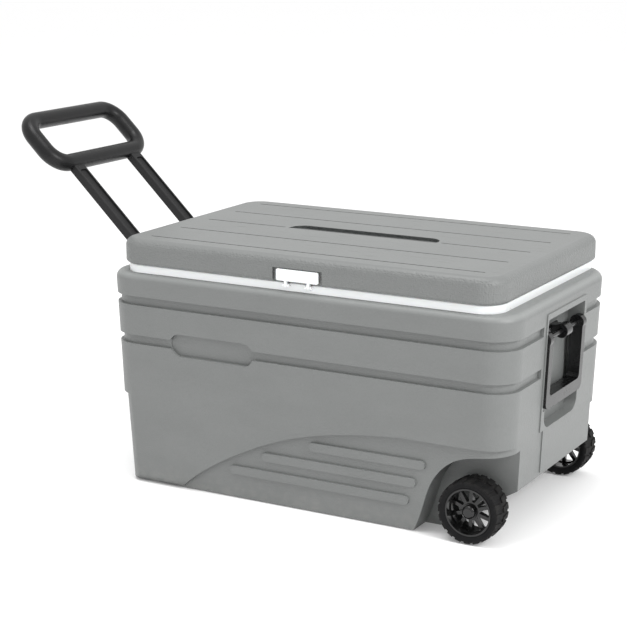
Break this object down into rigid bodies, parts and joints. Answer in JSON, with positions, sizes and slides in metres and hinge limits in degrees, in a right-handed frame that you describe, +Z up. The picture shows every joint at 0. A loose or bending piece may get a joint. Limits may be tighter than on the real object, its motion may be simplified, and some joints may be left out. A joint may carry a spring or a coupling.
{
  "type": "wheeled cooler",
  "caption": "Hard-sided picnic cooler with a hinged insulated lid, front latch flap, folding tow handle, end drop handle and road wheels on a through axle.",
  "frame": {"origin": "on the floor, under the middle of the lid", "axes": "+Z up, +X towards the wheel end, -Y towards the latch and front face"},
  "size_m": [1.0191, 0.4668, 0.6217],
  "materials": {
    "grey_plastic": "fine pebble grain, satin",
    "white_plastic": "smooth, slightly glossy",
    "foam": "closed-cell foam",
    "black_plastic": "satin black",
    "hinge_plastic": "satin grey",
    "wheel_plastic": "moulded, semi-gloss",
    "tread": "matt, dusty",
    "nylon": "natural nylon",
    "steel": "zinc plated"
  },
  "bodies": {
    "cooler_body": {"outer_shell": "grey_plastic", "body_insulation": "foam", "inner_liner": "white_plastic", "hinge_body_leaf_left": "hinge_plastic", "hinge_body_leaf_right": "hinge_plastic", "hinge_pin_left": "steel", "hinge_pin_right": "steel", "hinge_body_screws": "steel", "latch_pins": "steel", "tow_bracket_front": "black_plastic", "tow_bracket_rear": "black_plastic", "tow_pin_front": "steel", "tow_pin_rear": "steel", "tow_bracket_screws": "steel", "carry_handle_rod": "black_plastic", "carry_handle_bearing": "black_plastic", "carry_bearing_screws": "steel", "axle": "steel", "axle_saddle_front": "black_plastic", "axle_saddle_rear": "black_plastic", "axle_spacer_front": "nylon", "axle_spacer_rear": "nylon", "push_nut_front": "steel", "push_nut_rear": "steel"},
    "lid": {"lid_shell": "grey_plastic", "lid_liner": "white_plastic", "lid_insulation": "foam", "hinge_lid_leaf_left": "hinge_plastic", "hinge_lid_leaf_right": "hinge_plastic", "hinge_lid_screws": "steel"},
    "latch": {"latch_flap": "white_plastic"},
    "tow_handle": {"tow_grip_loop": "black_plastic", "tow_bar_front": "black_plastic", "tow_bar_rear": "black_plastic"},
    "carry_handle": {"carry_handle_bail": "black_plastic"},
    "wheel_front_body": {"wheel_front": "wheel_plastic", "tyre_front": "tread", "wheel_bush_front": "nylon", "hub_cap_front": "wheel_plastic"},
    "wheel_rear_body": {"wheel_rear": "wheel_plastic", "tyre_rear": "tread", "wheel_bush_rear": "nylon", "hub_cap_rear": "wheel_plastic"}
  },
  "joints": [
    {"name": "lid_hinge", "type": "hinge", "parent": "cooler_body", "child": "lid", "pos_m": [0, 0.232, 0.393], "axis": [-1, 0, 0], "range_deg": [0, 100]},
    {"name": "latch_hinge", "type": "hinge", "parent": "cooler_body", "child": "latch", "pos_m": [0, -0.2245, 0.3885], "axis": [1, 0, 0], "range_deg": [0, 90]},
    {"name": "tow_handle_swing", "type": "hinge", "parent": "cooler_body", "child": "tow_handle", "pos_m": [-0.3723, 0, 0.3687], "axis": [0, 1, 0], "range_deg": [-133.9, 40]},
    {"name": "carry_handle_swing", "type": "hinge", "parent": "cooler_body", "child": "carry_handle", "pos_m": [0.372, 0, 0.312], "axis": [0, -1, 0], "range_deg": [0, 100]},
    {"name": "wheel_front_spin", "type": "hinge", "parent": "cooler_body", "child": "wheel_front_body", "pos_m": [0.3069, -0.1977, 0.0533], "axis": [0, 1, 0], "continuous": true},
    {"name": "wheel_rear_spin", "type": "hinge", "parent": "cooler_body", "child": "wheel_rear_body", "pos_m": [0.3069, 0.1977, 0.0533], "axis": [0, 1, 0], "continuous": true}
  ]
}
